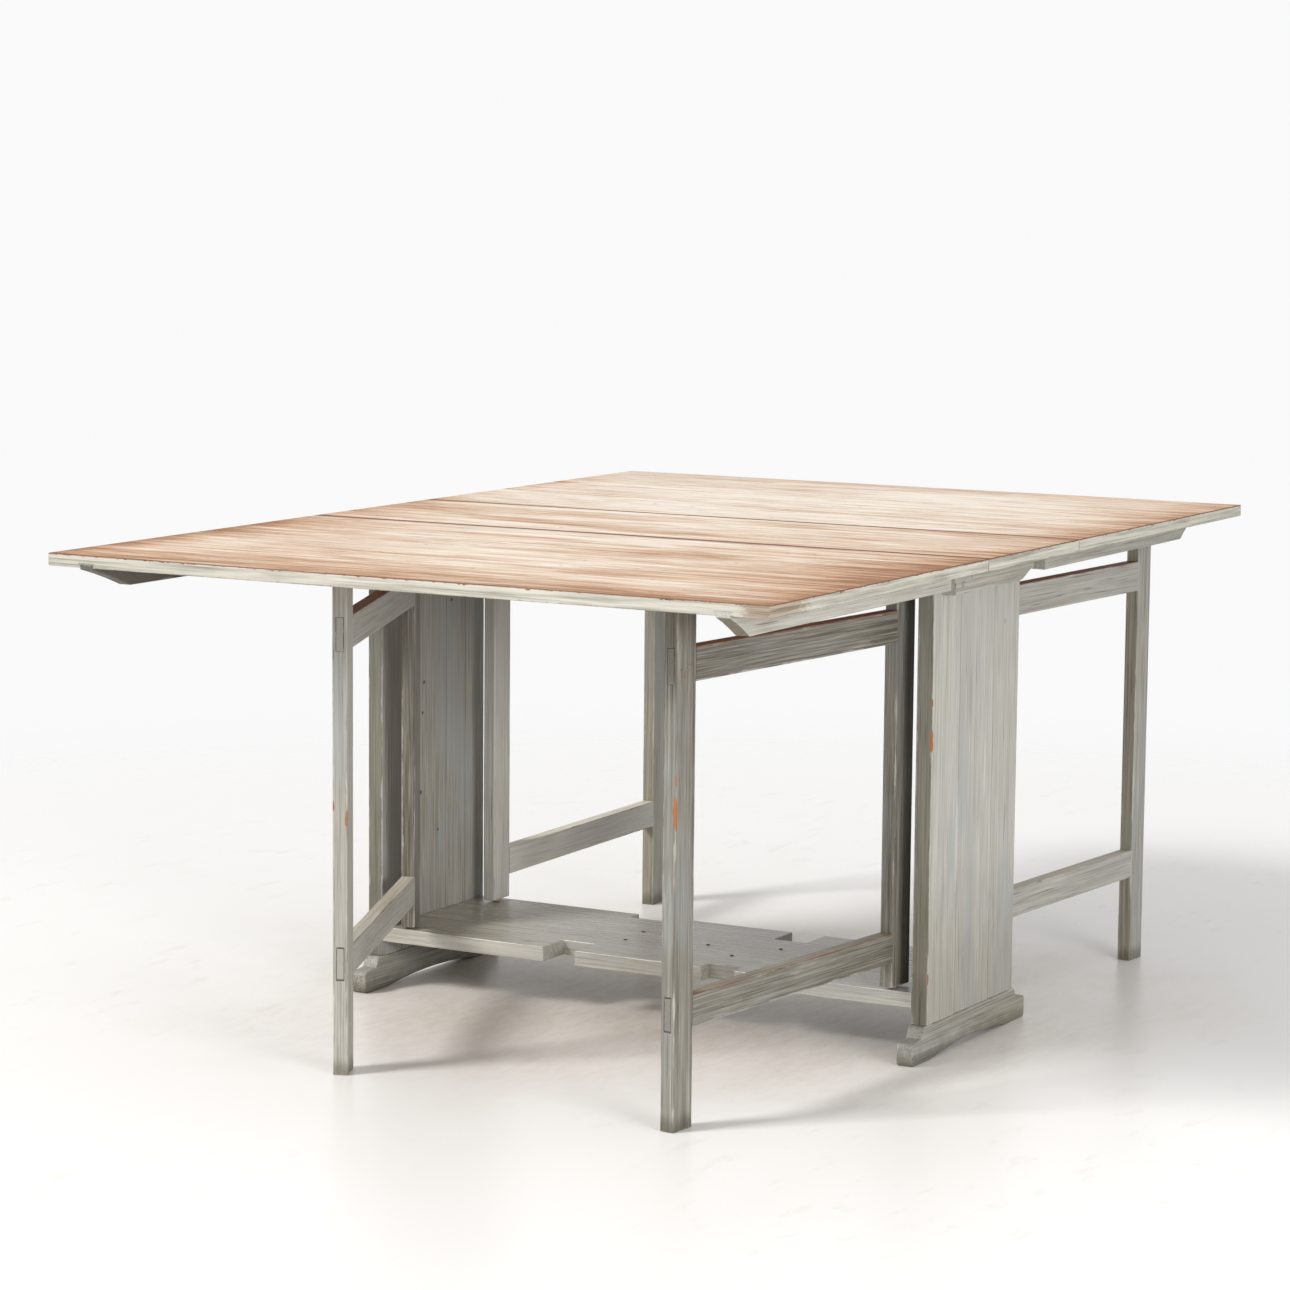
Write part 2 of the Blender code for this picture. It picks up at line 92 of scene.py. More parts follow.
class TopSettings(bpy.types.PropertyGroup):
    """Scrubbed pine of the three top boards, and the paint on their edges."""

    white: colour_setting("White", "Scrubbed, bleached wood", (0.86, 0.80, 0.715))
    cream: colour_setting("Cream", "Usual colour of the wood", (0.74, 0.60, 0.475))
    tan: colour_setting("Tan", "Wood near the rims", (0.56, 0.355, 0.225))
    brown: colour_setting("Brown", "Old finish along the rims", (0.30, 0.135, 0.06))
    stain: colour_setting("Stain", "Grey-brown blotches", (0.40, 0.29, 0.22))
    knot: colour_setting("Knot", "Knots and specks", (0.13, 0.055, 0.025))
    edge: colour_setting("Edge Paint", "Off-white paint on the edges", (0.60, 0.575, 0.50))
    edge_line: colour_setting("Edge Lines", "Grain lines in the edge paint", (0.27, 0.265, 0.215))
    under: colour_setting("Underside", "Unpainted wood underneath", (0.43, 0.33, 0.235))
    gloss: bpy.props.FloatProperty(
        name="Roughness",
        description="Roughness of the scrubbed wood",
        default=0.60,
        min=0.1,
        max=1,
        subtype="FACTOR",
    )


class StageSettings(bpy.types.PropertyGroup):
    """Floor, background, lights and camera."""

    floor: colour_setting("Floor", "Pale studio floor", (0.875, 0.866, 0.852))
    backdrop: colour_setting("Background", "Plain background", (0.955, 0.955, 0.957))
    floor_radius: bpy.props.FloatProperty(
        name="Floor Radius", description="Radius of the floor", default=3.4, min=1, unit="LENGTH"
    )
    key_power: bpy.props.FloatProperty(
        name="Key", description="Power of the large front light", default=2650, min=0, unit="POWER"
    )
    side_power: bpy.props.FloatProperty(
        name="Side", description="Power of the right-hand light", default=200, min=0, unit="POWER"
    )
    fill: bpy.props.FloatProperty(
        name="Fill", description="Strength of the even light all round", default=0.50, min=0
    )
    lens: bpy.props.FloatProperty(
        name="Lens", description="Focal length", default=0.109371, min=0.02, unit="CAMERA"
    )
    camera_place: bpy.props.FloatVectorProperty(
        name="Camera",
        description="Place of the camera",
        default=(2.88056, -5.27488, 1.34240),
        subtype="XYZ",
        unit="LENGTH",
    )
    camera_turn: bpy.props.FloatVectorProperty(
        name="Camera Turn",
        description="Pan, tilt below level and roll",
        default=(math.radians(29.2696), math.radians(7.3616), math.radians(0.4894)),
        subtype="EULER",
        unit="ROTATION",
    )


# ---------------------------------------------------------------- node graphs


class Graph:
    """A material's nodes, with short calls for the ones used most."""

    def __init__(self, name):
        self.material = bpy.data.materials.new(name)
        self.material.use_nodes = True
        self.tree = self.material.node_tree
        self.tree.nodes.clear()

    def feed(self, socket, value):
        if isinstance(value, bpy.types.NodeSocket):
            self.tree.links.new(value, socket)
        elif socket.type == "RGBA" and len(value) == 3:
            socket.default_value = (*value, 1)
        else:
            socket.default_value = value

    def add(self, kind, inputs=None, **settings):
        node = self.tree.nodes.new("ShaderNode" + kind)
        for key, value in settings.items():
            setattr(node, key, value)
        for key, value in (inputs or {}).items():
            self.feed(node.inputs[key], value)
        return node

    def math(self, operation, *values, clamp=False):
        node = self.add("Math", dict(enumerate(values)), operation=operation, use_clamp=clamp)
        return node.outputs[0]

    def local(self, centre=(0, 0, 0), turn=0.0):
        """Coordinates from a piece's own centre, turned with it."""
        source = self.add("TexCoord").outputs["Object"]
        fitted = {"Vector": source, "Location": centre, "Rotation": (0, 0, turn)}
        return self.add("Mapping", fitted, vector_type="TEXTURE").outputs[0]

    def facing(self, turn=0.0):
        """Parts of the surface normal, in a piece's own axes."""
        inputs = {"Vector": self.add("TexCoord").outputs["Normal"], "Rotation": (0, 0, turn)}
        return self.parts(self.add("Mapping", inputs, vector_type="TEXTURE").outputs[0])

    def parts(self, vector):
        return list(self.add("SeparateXYZ", {0: vector}).outputs)

    def scaled(self, vector, scale, shift=(0, 0, 0)):
        return self.add("Mapping", {"Vector": vector, "Location": shift, "Scale": scale}).outputs[0]

    def noise(self, vector, scale, seed=0.0, detail=3.0, roughness=0.55, distortion=0.0):
        """Noise with its own scale on each axis; the seed moves it elsewhere."""
        shift = (seed * 7.31, seed * 3.97 + 11, seed * 5.63 - 4)
        inputs = {
            "Vector": self.scaled(vector, scale, shift),
            "Scale": 1,
            "Detail": detail,
            "Roughness": roughness,
            "Distortion": distortion,
        }
        return self.add("TexNoise", inputs).outputs["Fac"]

    def noise_vector(self, vector, scale):
        """Three noises at once, from -0.5 to 0.5."""
        source = {"Vector": self.scaled(vector, scale), "Scale": 1, "Detail": 4}
        inputs = {0: self.add("TexNoise", source).outputs["Color"], 1: (0.5, 0.5, 0.5)}
        return self.add("VectorMath", inputs, operation="SUBTRACT").outputs[0]

    def cells(self, vector, scale, shift):
        inputs = {"Vector": self.scaled(vector, scale, shift), "Scale": 1}
        return self.add("TexVoronoi", inputs, feature="F1")

    def nudge(self, vector, offset, size):
        """Coordinates pushed about by a noise of three."""
        inputs = {0: offset, 1: (size, size, size), 2: vector}
        return self.add("VectorMath", inputs, operation="MULTIPLY_ADD").outputs[0]

    def step(self, value, low, high, smooth=True):
        """0 at low, 1 at high, held outside; low may be the larger."""
        inputs = {"Value": value, "From Min": low, "From Max": high}
        kind = "SMOOTHSTEP" if smooth else "LINEAR"
        if not smooth or low < high:
            return self.add("MapRange", inputs, interpolation_type=kind).outputs[0]
        inputs.update({"From Min": high, "From Max": low, "To Min": 1, "To Max": 0})
        return self.add("MapRange", inputs, interpolation_type=kind).outputs[0]

    def mix(self, factor, first, second, blend="MIX"):
        node = self.add("Mix", {0: factor, 6: first, 7: second}, data_type="RGBA", blend_type=blend)
        return node.outputs[2]

    def mix_value(self, factor, first, second):
        return self.add("Mix", {0: factor, 2: first, 3: second}, data_type="FLOAT").outputs[0]

    def ramp(self, value, stops):
        node = self.add("ValToRGB", {0: value})
        elements = node.color_ramp.elements
        for number, (place, colour) in enumerate(stops):
            element = elements[number] if number < 2 else elements.new(place)
            element.position = place
            element.color = (*colour, 1)
        return node.outputs[0]

    def blend(self, weighted):
        """Sum of (value, weight) pairs."""
        total = None
        for value, weight in weighted:
            total = self.math("MULTIPLY_ADD", value, weight, total if total is not None else 0.0)
        return total

    def edge_distance(self, parts, half):
        """Distance along the surface of a box to its nearest arris: the middle one of three."""
        a, b, c = (self.math("SUBTRACT", h, self.math("ABSOLUTE", p)) for p, h in zip(parts, half))
        low, high = self.math("MINIMUM", a, b), self.math("MAXIMUM", a, b)
        return self.math("MAXIMUM", low, self.math("MINIMUM", high, c))

    def spot(self, vector, place, radius, stretch=(1, 1, 1), soft=0.5):
        """1 inside an oval about a place, fading over its rim."""
        moved = [-p * s for p, s in zip(place, stretch)]
        away = self.scaled(vector, stretch, moved)
        length = self.add("VectorMath", {0: away}, operation="LENGTH").outputs["Value"]
        return self.step(length, radius, radius * soft)

    def finish(self, colour, roughness, height, relief, specular=0.4):
        bump = self.add("Bump", {"Strength": 1, "Distance": relief, "Height": height})
        shader = self.add(
            "BsdfPrincipled",
            {
                "Base Color": colour,
                "Roughness": roughness,
                "Specular IOR Level": specular,
                "Normal": bump.outputs[0],
            },
        )
        self.tree.links.new(shader.outputs[0], self.add("OutputMaterial").inputs[0])
        return self.material


def scales(axis, across, along):
    """A scale for each axis, across the grain and along it."""
    return tuple(along if number == axis else across for number in range(3))


def turned_box(node, turn=0.0):
    """Centre and half sizes of a node's box, measured on axes turned about Z."""
    back = Matrix.Rotation(-turn, 3, "Z")
    points = [back @ v.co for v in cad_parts[node].data.vertices]
    low = Vector([min(p[i] for p in points) for i in range(3)])
    high = Vector([max(p[i] for p in points) for i in range(3)])
    return Matrix.Rotation(turn, 3, "Z") @ ((low + high) / 2), (high - low) / 2


def dress(node, material):
    """Puts one material in all of a CAD node's slots."""
    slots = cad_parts[node].material_slots
    if not slots:
        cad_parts[node].data.materials.append(material)
    for slot in slots:
        slot.material = material


# ---------------------------------------------------------------- finishes


def paint_layers(g, vector, axis, seed, tone, cool, contrast):
    """Colour and height of streaky grey paint, in coordinates of one piece."""
    paint = bpy.context.scene.table_paint
    broad = g.noise(vector, scales(axis, 16, 1.5), seed, 2)
    middle = g.noise(vector, scales(axis, 110, 2.4), seed + 1, 4, 0.6)
    grain = g.noise(vector, scales(axis, 330, 4.5), seed + 7, 2, 0.5)
    fine = g.noise(vector, scales(axis, 700, 12), seed + 2, 2, 0.6)
    level = g.blend(((broad, 0.26), (middle, 0.24), (grain, 0.55), (fine, 0.62)))
    level = g.math("MULTIPLY_ADD", level, contrast, tone + 0.5 - 0.835 * contrast)
    stops = (
        (0.18, paint.deep),
        (0.34, paint.dark),
        (0.50, paint.middle),
        (0.68, paint.pale),
        (0.86, PALE_PAINT),
    )
    colour = g.ramp(level, stops)
    patch = g.noise(vector, scales(axis, 9, 2.6), seed + 3, 3)
    blue = g.math("MULTIPLY", g.step(patch, 0.48, 0.66), cool, clamp=True)
    colour = g.mix(blue, colour, g.mix(0.6, colour, paint.cool))
    yellow = g.math("MULTIPLY", g.step(patch, 0.46, 0.28), 1.2 - cool, clamp=True)
    colour = g.mix(yellow, colour, g.mix(0.45, colour, paint.olive))
    cracks = g.noise(vector, scales(axis, 420, 8), seed + 4, 2, 0.5)
    lines = g.math("MULTIPLY", g.step(cracks, 0.37, 0.29), g.step(middle, 0.66, 0.44))
    colour = g.mix(g.math("MULTIPLY", lines, 0.7), colour, paint.deep)
    scuffs = g.noise(vector, scales(axis, 48, 6), seed + 8, 4, 0.6)
    colour = g.mix(g.math("MULTIPLY", g.step(scuffs, 0.60, 0.72), 0.16), colour, (0.66, 0.65, 0.61))
    return colour, fine, middle, patch


def painted(
    node, axis, seed, tone=0.0, cool=0.5, turn=0.0, wear=0.5, chips=(), face_shading=(), marks=None,
    contrast=0.72, sheen=0.0,
):
    """Worn grey paint for one member, with its arrises rubbed through.

    chips are (place, radius, length) in the member's own axes; face_shading is (axis, side, colour) for
    faces painted darker or lighter than the rest, as painted shade and painted light; marks adds what
    only this member has."""
    paint = bpy.context.scene.table_paint
    centre, half = turned_box(node, turn)
    g = Graph(node + "_paint")
    here = g.local(centre, turn)
    parts = g.parts(here)
    facing = g.facing(turn)
    colour, fine, middle, patch = paint_layers(g, here, axis, seed, tone, cool, contrast)
    # Painted shade and painted light: faces turned one way along an axis get their colour darkened or
    # brightened
    for number, side, tint in face_shading:
        share = g.step(g.math("MULTIPLY", facing[number], side), 0.5, 0.8)
        colour = g.mix(share, colour, tint, "MULTIPLY")
    distance = g.edge_distance(parts, half)
    ragged = g.noise(here, scales(axis, 150, 30), seed + 5, 4, 0.6)
    gap = g.math("MULTIPLY_ADD", ragged, -0.010, g.math("ADD", distance, 0.005))
    spread = g.noise(here, scales(axis, 20, 8), seed + 6, 3)
    light = g.math("MULTIPLY", g.step(gap, 0.0026, 0.0006), g.step(spread, 0.44, 0.56))
    colour = g.mix(g.math("MULTIPLY", light, 0.45), colour, (0.60, 0.585, 0.53))
    thin = g.step(gap, 0.0012, -0.0004)
    bare = g.math("MULTIPLY", thin, g.step(spread, 0.60 - 0.2 * wear, 0.50 - 0.2 * wear))
    colour = g.mix(g.math("MULTIPLY", bare, 0.85), colour, paint.edge)
    red = g.math("MULTIPLY", g.step(gap, 0.0004, -0.0012), g.step(patch, 0.52, 0.60))
    colour = g.mix(g.math("MULTIPLY", red, 0.9 * wear), colour, paint.chip)
    height = g.blend(((fine, 0.6), (middle, 0.4), (bare, -0.8), (red, -0.8)))
    if chips:
        jagged = g.noise_vector(here, scales(axis, 210, 90))
    for place, radius, length in chips:
        shaken = g.nudge(here, jagged, radius * 1.5)
        chip = g.spot(shaken, place, radius, scales(axis, 1.0, 1.0 / length), 0.8)
        core = g.mix(g.step(fine, 0.35, 0.65), paint.chip, (0.42, 0.165, 0.055))
        colour = g.mix(chip, colour, core)
        height = g.math("MULTIPLY_ADD", chip, -1.2, height)
    if marks:
        colour, height = marks(g, here, parts, half, facing, colour, height)
    rough = g.math("MULTIPLY_ADD", middle, 0.28, paint.gloss - 0.12 - sheen)
    dress(node, g.finish(colour, rough, height, paint.grain * (1 - sheen), 0.4 + sheen))


def bare(node, seed):
    """Unpainted pine, grain upright."""
    centre, _ = turned_box(node)
    g = Graph(node + "_wood")
    here = g.local(centre)
    grain = g.noise(here, (260, 260, 9), seed, 4, 0.6)
    fine = g.noise(here, (900, 900, 30), seed + 1, 2)
    level = g.blend(((grain, 0.7), (fine, 0.3)))
    stops = ((0.35, (0.24, 0.135, 0.07)), (0.5, (0.42, 0.27, 0.16)), (0.65, (0.54, 0.38, 0.245)))
    colour = g.ramp(level, stops)
    dress(node, g.finish(colour, 0.6, level, 0.0003, 0.3))


def several(*marks):
    """One marks function that runs several in turn."""

    def run(g, here, parts, half, facing, colour, height):
        for mark in marks:
            colour, height = mark(g, here, parts, half, facing, colour, height)
        return colour, height

    return run


def bare_top(colour_value, cover=0.95):
    """Bare wood on the upper face of a rail."""

    def run(g, here, parts, half, facing, colour, height):
        grain = g.noise(here, (6, 260, 260), 3, 3)
        wood = g.mix(g.step(grain, 0.4, 0.65), colour_value, [c * 1.7 for c in colour_value])
        share = g.math("MULTIPLY", g.step(facing[2], 0.5, 0.8), cover)
        return g.mix(share, colour, wood), height

    return run


def rust_rim(side, strength, axis=1):
    """Thin rust line along the upper arris on one side of a rail."""

    def run(g, here, parts, half, facing, colour, height):
        up = g.math("SUBTRACT", half[2], parts[2])
        out = g.math("SUBTRACT", half[axis], g.math("MULTIPLY", parts[axis], side))
        near = g.math("MAXIMUM", up, out)
        broken = g.noise(here, (24, 200, 200), 6, 4, 0.6)
        edge = g.math("MULTIPLY_ADD", broken, -0.006, g.math("ADD", near, 0.003))
        line = g.math("MULTIPLY", g.step(edge, 0.0026, 0.0010), g.step(broken, 0.36, 0.46))
        return g.mix(g.math("MULTIPLY", line, strength), colour, (0.17, 0.072, 0.034)), height

    return run


def calm_ends(tint, share):
    """Even paint on the end grain of a rail, which shows as the end of its tenon."""

    def run(g, here, parts, half, facing, colour, height):
        end = g.math("MULTIPLY", g.step(g.math("ABSOLUTE", facing[0]), 0.5, 0.8), share)
        return g.mix(end, colour, tint), height

    return run


def tenon_lines(levels, thick, tall):
    """Dark joint round each through tenon, on a leg's outer edge."""

    def run(g, here, parts, half, facing, colour, height):
        for level in levels:
            across = g.math("SUBTRACT", g.math("ABSOLUTE", parts[1]), thick)
            up = g.math("SUBTRACT", g.math("ABSOLUTE", g.math("SUBTRACT", parts[2], level)), tall)
            away = g.math("MAXIMUM", across, up)
            broken = g.noise(here, (90, 90, 60), 8, 3)
            line = g.math("MULTIPLY", g.step(away, 0.0016, 0.0008), g.step(broken, 0.34, 0.44))
            share = g.math("MULTIPLY", line, g.step(facing[0], 0.5, 0.8))
            colour = g.mix(g.math("MULTIPLY", share, 0.9), colour, (0.05, 0.042, 0.033))
        return colour, height

    return run


def stains(spots):
    """Stains and dark holes: (place, radius, stretch, colour, strength)."""

    def run(g, here, parts, half, facing, colour, height):
        jagged = g.noise_vector(here, (160, 160, 160))
        for place, radius, stretch, tint, strength in spots:
            shape = g.spot(g.nudge(here, jagged, radius * 0.9), place, radius, stretch, 0.35)
            colour = g.mix(g.math("MULTIPLY", shape, strength), colour, tint)
            height = g.math("MULTIPLY_ADD", shape, -0.6 * strength, height)
        return colour, height

    return run


def dirty_foot(rise, tint=(0.42, 0.40, 0.34)):
    """Darker paint towards the floor."""

    def run(g, here, parts, half, facing, colour, height):
        up = g.math("ADD", parts[2], half[2])
        cloud = g.noise(here, (40, 40, 22), 12, 4)
        share = g.step(g.math("MULTIPLY_ADD", cloud, -0.7 * rise, up), 0.5 * rise, -0.2 * rise)
        darker = g.mix(1.0, colour, tint, "MULTIPLY")
        return g.mix(g.math("MULTIPLY", share, 0.8), colour, darker), height

    return run


def board_joints(axis, places, width=0.0009):
    """Fine dark joints between the boards of a panel, shelf or top."""

    def run(g, here, parts, half, facing, colour, height):
        for place in places:
            away = g.math("ABSOLUTE", g.math("SUBTRACT", parts[axis], place))
            line = g.step(away, width, width * 0.4)
            colour = g.mix(g.math("MULTIPLY", line, 0.6), colour, (0.07, 0.06, 0.048))
            height = g.math("MULTIPLY_ADD", line, -0.8, height)
        return colour, height

    return run


# ---------------------------------------------------------------- stage


def make_floor(radius, colour):
    bpy.ops.object.select_all(action="DESELECT")
    bpy.ops.mesh.primitive_circle_add(vertices=96, radius=radius, fill_type="NGON")
    floor = bpy.context.object
    floor.name = "floor"
    bpy.ops.object.mode_set(mode="EDIT")
    bpy.ops.mesh.select_all(action="SELECT")
    bpy.ops.mesh.inset(thickness=radius * 0.3)
    bpy.ops.object.mode_set(mode="OBJECT")
    g = Graph("studio_floor")
    here = g.local()
    cloud = g.noise(here, (1.3, 1.3, 1.3), 3, 4)
    scuffs = g.noise(here, (26, 9, 9), 5, 5, 0.7)
    marks = g.math("MULTIPLY", g.step(scuffs, 0.56, 0.68), g.step(cloud, 0.40, 0.55))
    tint = g.mix(g.math("MULTIPLY", marks, 0.22), colour, (0.62, 0.58, 0.52))
    tint = g.mix(g.math("MULTIPLY", g.step(cloud, 0.4, 0.65), 0.05), tint, (0.80, 0.78, 0.75))
    # A warm, darker patch round the table: trodden dirt and painted shadow under it; and the plain floor
    # fading away well before the rim
    moved = g.nudge(here, g.noise_vector(here, (2, 2, 2)), 0.9)
    dirt_and_shade = g.spot(moved, (0.0, 0.05, 0.0), 1.05, (1.0, 1.25, 1.0), 0.15)
    dust = g.step(g.noise(here, (60, 22, 22), 9, 6, 0.75), 0.38, 0.66)
    dirt_and_shade = g.math("MULTIPLY", dirt_and_shade, g.mix_value(dust, 0.55, 1.0))
    # Dirt and painted shadow: the floor round and under the table is made warmer and darker
    tint = g.mix(dirt_and_shade, tint, (0.68, 0.605, 0.535))
    grit = g.step(g.noise(here, (150, 150, 150), 10, 3, 0.6), 0.66, 0.74)
    tint = g.mix(g.math("MULTIPLY", g.math("MULTIPLY", grit, dirt_and_shade), 0.55), tint, (0.40, 0.33, 0.27))
    x, y, _ = g.parts(here)
    far = g.math("SQRT", g.math("ADD", g.math("POWER", x, 2.0), g.math("POWER", y, 2.0)))
    rough = g.math("MULTIPLY_ADD", cloud, 0.2, 0.22)
    inputs = {"Base Color": tint, "Roughness": rough, "Specular IOR Level": 0.35}
    shader = g.add("BsdfPrincipled", inputs)
    fade = g.step(far, radius * 0.42, radius * 0.995)
    clear = g.add("BsdfTransparent")
    both = g.add("MixShader", {0: fade, 1: shader.outputs[0], 2: clear.outputs[0]})
    g.tree.links.new(both.outputs[0], g.add("OutputMaterial").inputs[0])
    floor.data.materials.append(g.material)


def make_light(name, place, aim, size, power, colour=(1, 1, 1)):
    bpy.ops.object.select_all(action="DESELECT")
    bpy.ops.object.light_add(type="AREA", location=place)
    light = bpy.context.object
    light.name = name
    light.data.shape = "RECTANGLE"
    light.data.size, light.data.size_y = size
    light.data.energy = power
    light.data.color = colour
    light.rotation_euler = (Vector(aim) - Vector(place)).to_track_quat("-Z", "Y").to_euler()


def make_world(colour, fill):
    """Plain background for the camera, and light that grows from the horizon to the zenith."""
    world = bpy.data.worlds.new("studio")
    bpy.context.scene.world = world
    world.use_nodes = True
    nodes, links = world.node_tree.nodes, world.node_tree.links
    nodes.clear()
    even = nodes.new("ShaderNodeBackground")
    even.inputs[0].default_value = (1, 1, 1, 1)
    look = nodes.new("ShaderNodeTexCoord")
    split = nodes.new("ShaderNodeSeparateXYZ")
    links.new(look.outputs["Generated"], split.inputs[0])
    rise = nodes.new("ShaderNodeMapRange")
    rise.inputs["To Min"].default_value = fill * 0.30
    rise.inputs["To Max"].default_value = fill * 1.70
    links.new(split.outputs["Z"], rise.inputs["Value"])
    links.new(rise.outputs[0], even.inputs[1])
    mirrored = nodes.new("ShaderNodeBackground")
    mirrored.inputs[0].default_value = (0.85, 0.85, 0.85, 1)
    seen = nodes.new("ShaderNodeBackground")
    seen.inputs[0].default_value = (*colour, 1)
    path = nodes.new("ShaderNodeLightPath")
    pick = nodes.new("ShaderNodeMixShader")
    out = nodes.new("ShaderNodeOutputWorld")
    links.new(path.outputs["Is Camera Ray"], pick.inputs[0])
    glossy = nodes.new("ShaderNodeMixShader")
    links.new(path.outputs["Is Glossy Ray"], glossy.inputs[0])
    links.new(even.outputs[0], glossy.inputs[1])
    links.new(mirrored.outputs[0], glossy.inputs[2])
    links.new(glossy.outputs[0], pick.inputs[1])
    links.new(seen.outputs[0], pick.inputs[2])
    links.new(pick.outputs[0], out.inputs[0])


class TABLE_OT_stage(bpy.types.Operator):
    """Make the floor, background, lights and camera"""

    bl_idname = "table.stage"
    bl_label = "Stage"

    def execute(self, context):
        stage = context.scene.table_stage
        context.scene.view_settings.view_transform = "Standard"
        make_floor(stage.floor_radius, stage.floor)
        make_world(stage.backdrop, stage.fill)
        middle = (0, 0, 0.3)
        warm = (1, 0.985, 0.965)
        make_light("key_light", (-8.4, -11.6, 11.2), middle, (4.4, 4.4), stage.key_power, warm)
        make_light("side_light", (5.2, -2.9, 1.35), (0, 0, 0.35), (2.4, 1.6), stage.side_power)
        bpy.ops.object.camera_add(location=stage.camera_place)
        camera = context.object
        camera.name = "camera"
        pan, tilt, roll = stage.camera_turn
        turn = Matrix.Rotation(pan, 3, "Z") @ Matrix.Rotation(math.pi / 2 - tilt, 3, "X")
        camera.rotation_euler = (turn @ Matrix.Rotation(roll, 3, "Z")).to_euler()
        camera.data.lens = stage.lens * 1000
        camera.data.sensor_width = 36
        camera.data.clip_end = 100
        context.scene.camera = camera
        return {"FINISHED"}


# ---------------------------------------------------------------- top


def make_top_finish(node, rims, seed, tone, seams, patches, worn_corner=False):
    """Scrubbed face, painted edges and bare underside of one top board.

    rims gives how brown the finish stays at the board's left end, right end, near side and far side;
    seams the width and strength of the dirt along its near and far long edges; patches the stains on its
    face."""
    top = bpy.context.scene.table_top
    centre, half = turned_box(node)
    g = Graph(node + "_finish")
    world = g.local()
    here = g.local(centre)
    x, y, z = g.parts(here)
    nx, _, nz = g.facing()
    broad = g.noise(world, (1.4, 8, 1), seed, 3, 0.55, 0.6)
    streak = g.noise(world, (4.2, 80, 1), seed + 1, 6, 0.70, 0.35)
    fine = g.noise(world, (18, 330, 1), seed + 2, 3, 0.6)
    cloud = g.noise(world, (2.6, 3.4, 1), seed + 3, 4, 0.6, 0.4)
    left, right, near, far = rims
    worn = None
    for value, reach, strength in (
        (g.math("ADD", x, half.x), 0.15, left),
        (g.math("SUBTRACT", half.x, x), 0.27, right),
        (g.math("ADD", y, half.y), 0.26, near),
        (g.math("SUBTRACT", half.y, y), 0.20, far),
    ):
        ragged = g.math("MULTIPLY_ADD", g.math("SUBTRACT", cloud, 0.5), 0.22, value)
        ragged = g.math("MULTIPLY_ADD", g.math("SUBTRACT", streak, 0.5), 0.12, ragged)
        fall = g.math("EXPONENT", g.math("DIVIDE", ragged, -0.42 * reach))
        rim = g.math("MULTIPLY", fall, strength)
        worn = rim if worn is None else g.math("MAXIMUM", worn, rim)
    worn = g.math("MINIMUM", worn, 1.15)
    level = g.blend(((broad, 0.60), (streak, 1.90), (fine, 0.65)))
    brown = g.math("MULTIPLY_ADD", worn, 0.46, g.math("SUBTRACT", tone + 1.955, level))
    for place, radius, stretch, strength in patches:
        moved = g.nudge(world, g.noise_vector(world, (5, 40, 1)), 0.09)
        patch = g.spot(moved, (*place, TABLE_HEIGHT), radius, (*stretch, 0), 0.2)
        brown = g.math("MULTIPLY_ADD", patch, strength, brown)
    stops = (
        (0.22, top.white),
        (0.44, top.cream),
        (0.70, top.tan),
        (0.98, top.brown),
    )
    face = g.ramp(brown, stops)
    blot = g.math("MULTIPLY", g.step(cloud, 0.52, 0.68), g.step(streak, 0.44, 0.60))
    face = g.mix(g.math("MULTIPLY", blot, 0.45), face, top.stain)
    hair = g.noise(world, (9, 190, 1), seed + 11, 3, 0.6)
    dark_line = g.math("MULTIPLY", g.step(hair, 0.57, 0.65), g.step(broad, 0.70, 0.45))
    face = g.mix(g.math("MULTIPLY", dark_line, 0.7), face, top.brown)
    for value, width, tint, strength in (
        (g.math("ADD", y, half.y), seams[0], (0.36, 0.155, 0.07), seams[1]),
        (g.math("SUBTRACT", half.y, y), seams[2], (0.25, 0.105, 0.05), seams[3]),
    ):
        ragged = g.math("MULTIPLY_ADD", g.math("SUBTRACT", hair, 0.5), 1.2 * width, value)
        ragged = g.math("MULTIPLY_ADD", g.math("SUBTRACT", cloud, 0.5), 1.6 * width, ragged)
        face = g.mix(g.math("MULTIPLY", g.step(ragged, width, 0.1 * width), strength), face, tint)
        line = g.math("MULTIPLY", g.step(value, 0.0070, 0.0045), min(1.0, strength * 1.3))
        face = g.mix(line, face, (0.15, 0.058, 0.028))
    pits = g.cells(world, (26, 60, 1), (seed, 0, 0))
    chosen = g.step(g.parts(pits.outputs["Color"])[0], 0.86, 0.90)
    speck = g.math("MULTIPLY", g.step(pits.outputs["Distance"], 0.14, 0.07), chosen)
    face = g.mix(g.math("MULTIPLY", speck, 0.8), face, top.knot)
    knots = g.cells(world, (3.1, 7.0, 1), (seed * 2, 3, 0))
    ring = g.step(knots.outputs["Distance"], 0.075, 0.03)
    chosen = g.step(g.parts(knots.outputs["Color"])[1], 0.66, 0.70)
    face = g.mix(g.math("MULTIPLY", g.math("MULTIPLY", ring, chosen), 0.75), face, top.knot)
    halo = g.math("MULTIPLY", g.step(knots.outputs["Distance"], 0.24, 0.05), chosen)
    face = g.mix(g.math("MULTIPLY", halo, 0.30), face, top.tan)
